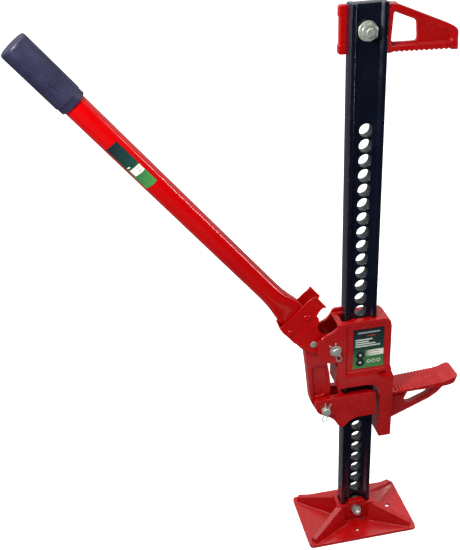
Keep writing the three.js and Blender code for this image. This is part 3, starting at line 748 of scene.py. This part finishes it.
def split_pin(cad_node, at, tilt):
    """A wire folded to an eye, with its two legs bent apart."""
    gap, radius = 1.05, 0.88
    path = [
        (-5, 15), (-2.6, 9), (-gap, 5), (-gap, 0), (-gap, -6), (-3.2, -10), (-3.4, -15), (0, -18.5),
        (3.4, -15), (3.2, -10), (gap, -6), (gap, 0), (gap, 5), (2.6, 9), (4.2, 14),
    ]
    curve = smooth_path([(x, 0, z) for x, z in path])
    return stand_in(wire(cad_node + "_wire", curve, radius, across_pin(at, tilt)), cad_node)


def climbing_set(prefix, z):
    """A climbing pin with its spring, cap and cross pin."""
    frame_at = along_y(0, z)
    profile = [
        (0, 8.3), (5.4, 8.3), (6.4, 8.6), (7.6, 9.8), (8.0, 10.8), (8.0, 23.4), (7.4, 24), (3.4, 24),
        (3.4, 60.4), (2.9, 61), (0, 61),
    ]
    pin = spin(prefix + "_climbing_pin_turned", frame_at, profile, None, 48)
    cross = along_x(57.5, z)
    drilled(pin, drill(cross, 2.2, 24))
    stand_in(shade(pin, 35), prefix + "_climbing_pin")
    stand_in(soft_washer(prefix + "_cap_turned", frame_at, 8.1, 3.7, 37.5, 42), prefix + "_spring_cap")
    rod = [(0, -12), (1.6, -12), (2.0, -11.6), (2.0, 11.6), (1.6, 12), (0, 12)]
    stand_in(spin(prefix + "_cross_pin_turned", cross, rod, None, 32), prefix + "_cross_pin")
    turns, steps = 3.5, 120
    helix = []
    for i in range(steps + 1):
        a = 2 * math.pi * turns * i / steps
        helix.append(Vector((6.1 * math.cos(a), 28.5 + 7.5 * i / steps, z + 6.1 * math.sin(a))))
    stand_in(wire(prefix + "_spring_wire", helix, 1.0), prefix + "_pin_spring")


def fasteners():
    base, clamp = along_y(0, hole_z(0)), along_y(*CLAMP_BOLT)
    stand_in(bolt("base_bolt_turned", base, 4.0, 13, -27, 15.6, 21), "base_bolt")
    stand_in(soft_washer("base_washer_b", base, 8, 4.4, 13.7, 15.3), "base_washer_back")
    stand_in(soft_washer("base_washer_f", base, 8, 4.4, -15.3, -13.7), "base_washer_front")
    stand_in(hex_nut("base_nut_turned", base, 4.05, 13, -22, -15.6), "base_nut")
    stand_in(bolt("clamp_bolt_turned", clamp, 5.5, 20, -20.5, 20.3, 27), "top_clamp_bolt")
    stand_in(soft_washer("clamp_washer_turned", clamp, 12.5, 5.9, -9.3, -7.8), "top_clamp_washer")
    stand_in(hex_nut("clamp_nut_turned", clamp, 5.55, 20, -17.5, -9.6), "top_clamp_nut")
    stand_in(soft_washer("main_washer_turned", along_y(*MAIN_PIN), 8.6, 7, -22.6, -21.3), "main_pin_washer")
    rod = [(0, -26), (2.6, -26), (3.0, -25.6), (3.0, 25.6), (2.6, 26), (0, 26)]
    stand_in(spin("latch_pivot_turned", along_x(33, 367), rod, None, 32), "latch_pivot")


def handle_sticker():
    """A printed label wrapped part way round the tube."""
    low, high, right, left = 377.0, 449.5, math.radians(66), math.radians(138)
    steps = 24
    rows = []
    for height in [low + (high - low) * i / 12 for i in range(13)]:
        arc = [right + (left - right) * i / steps for i in range(steps + 1)]
        layers = [(a, TUBE_R + 0.22) for a in arc] + [(a, TUBE_R + 0.04) for a in reversed(arc)]
        rows.append([(TUBE_X + r * math.cos(a), -r * math.sin(a), height) for a, r in layers])
    centre = [(sum(c) / len(rows[0]) for c in zip(*row)) for row in (rows[0], rows[-1])]
    sticker = skin("handle_sticker", [[tuple(centre[0])], *rows, [tuple(centre[1])]], HANDLE, 40)
    corner = HANDLE @ (Vector((TUBE_X - 10.8, -10.8, low)) * MM)
    across = HANDLE.to_3x3() @ Vector((16.6 * MM, 0, 0))
    up = HANDLE.to_3x3() @ Vector((0, 0, (high - low) * MM))
    sticker.data.materials.append(label_film("sticker_film", corner, across, up, False))
    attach(sticker, BODY_OF["handle_tube"])


for casting_node in ("base_plate", "top_clamp", "small_runner", "pitman", "reversing_latch"):
    cast(casting_node)
cast("large_runner", filler=toe_filler(), reshape=ridged_toe)
rack_bar()
handle_tube()
handle_grip()
handle_socket()
for index, spot_at in enumerate(RIVETS):
    rivet = f"rivet_{index + 1}"
    two_headed(rivet + "_headed", "socket_" + rivet, handle_y(*spot_at), 3.0, 4.8, 13.7, 16.4)
two_headed("pivot_pin_headed", "pitman_pivot_pin", handle_y(*TOP_PIVOT), 4.5, 5.2, 14.5, 16.0)
clevis_pin("main_pin", MAIN_PIN, -0.35)
clevis_pin("lower_pin", LOWER_PIN, 0.2)
split_pin("main_pin_split_pin", MAIN_PIN, -0.35)
split_pin("lower_pin_split_pin", LOWER_PIN, 0.2)
climbing_set("upper", UPPER_CLIMB)
climbing_set("lower", LOWER_CLIMB)
fasteners()
handle_sticker()

label_low, label_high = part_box("runner_label")
label_across = Vector((label_high.x - label_low.x, 0, 0))
label_up = Vector((0, 0, label_high.z - label_low.z))
runner_label = frame["nodes"]["runner_label"].data
runner_label.materials.clear()
runner_label.materials.append(label_film("label_film", label_low, label_across, label_up))


# Stage, light and camera.

def make_floor():
    """A white floor for the camera only: the floor fill light gives the jack what it would throw up."""
    made, tree, shader = material("studio_floor", Roughness=0.8, Emission_Strength=0.75)
    shader.inputs["Base Color"].default_value = (0.82, 0.82, 0.82, 1.0)
    shader.inputs["Emission Color"].default_value = (1.0, 1.0, 1.0, 1.0)
    bpy.ops.mesh.primitive_plane_add(size=40.0, location=(0, 12.0, -0.0002))
    floor = bpy.context.object
    floor.name = "studio_floor"
    floor.visible_glossy = False
    floor.visible_diffuse = False
    floor.visible_shadow = False
    floor.data.materials.append(made)


def area_light(name, at, aim, size, watts):
    data = bpy.data.lights.new(name, "AREA")
    data.shape = "RECTANGLE"
    data.size, data.size_y = size
    data.energy = watts
    light = bpy.data.objects.new(name, data)
    bpy.context.scene.collection.objects.link(light)
    light.location = at
    light.rotation_euler = (Vector(aim) - Vector(at)).to_track_quat("-Z", "Y").to_euler()
    light.visible_camera = False
    return light


def make_world(front, back):
    """A dim studio in front of the jack and a pale backdrop behind it."""
    world = bpy.data.worlds.new("studio")
    world.use_nodes = True
    tree = world.node_tree
    sky = tree.nodes["Background"]
    direction = node(tree, "ShaderNodeTexCoord").outputs["Generated"]
    split = node(tree, "ShaderNodeSeparateXYZ", [("Vector", direction)])
    sky.inputs["Color"].default_value = (1.0, 1.0, 1.0, 1.0)
    depth = span(tree, split.outputs["Y"], -0.25, 0.45, front, back)
    height = span(tree, split.outputs["Z"], -0.2, 0.15, 0.28, 1.0)
    tree.links.new(maths(tree, "MULTIPLY", depth, height), sky.inputs["Strength"])
    bpy.context.scene.world = world


def make_camera():
    data = bpy.data.cameras.new("camera")
    data.lens = LENS
    data.sensor_width = SENSOR
    data.shift_x, data.shift_y = SHIFT
    camera = bpy.data.objects.new("camera", data)
    bpy.context.scene.collection.objects.link(camera)
    turn = Matrix.Rotation(math.radians(CAMERA_TURN), 4, "Z")
    tilt = Matrix.Rotation(math.radians(90 + CAMERA_TILT), 4, "X")
    roll = Matrix.Rotation(math.radians(CAMERA_ROLL), 4, "Z")
    camera.matrix_world = Matrix.Translation(CAMERA_AT) @ turn @ tilt @ roll
    bpy.context.scene.camera = camera


make_floor()
make_world(0.0015, 0.55)
area_light("overhead", (0.0, 0.0, 5.0), (0.0, 0.0, 0.0), (9.0, 9.0), 340)
floor_fill = area_light("floor_fill", (0.0, 0.0, -0.01), (0.0, 0.0, 1.0), (8.0, 8.0), 190)
floor_fill.visible_glossy = False
area_light("table_front", (0.06, -0.44, 0.0005), (0.06, -0.44, 1.0), (0.5, 0.09), 0.05)
area_light("key", (-0.56, -0.36, 1.05), (-0.35, 0.0, 0.74), (0.2, 0.2), 6.5)
area_light("front", (-0.9, -2.2, 2.4), (0.0, 0.0, 0.35), (0.7, 0.7), 4)
area_light("right_strip", (2.2, -0.05, 0.9), (-0.1, 0.0, 0.5), (0.12, 1.6), 20)
make_camera()
bpy.context.scene.view_settings.view_transform = "Standard"
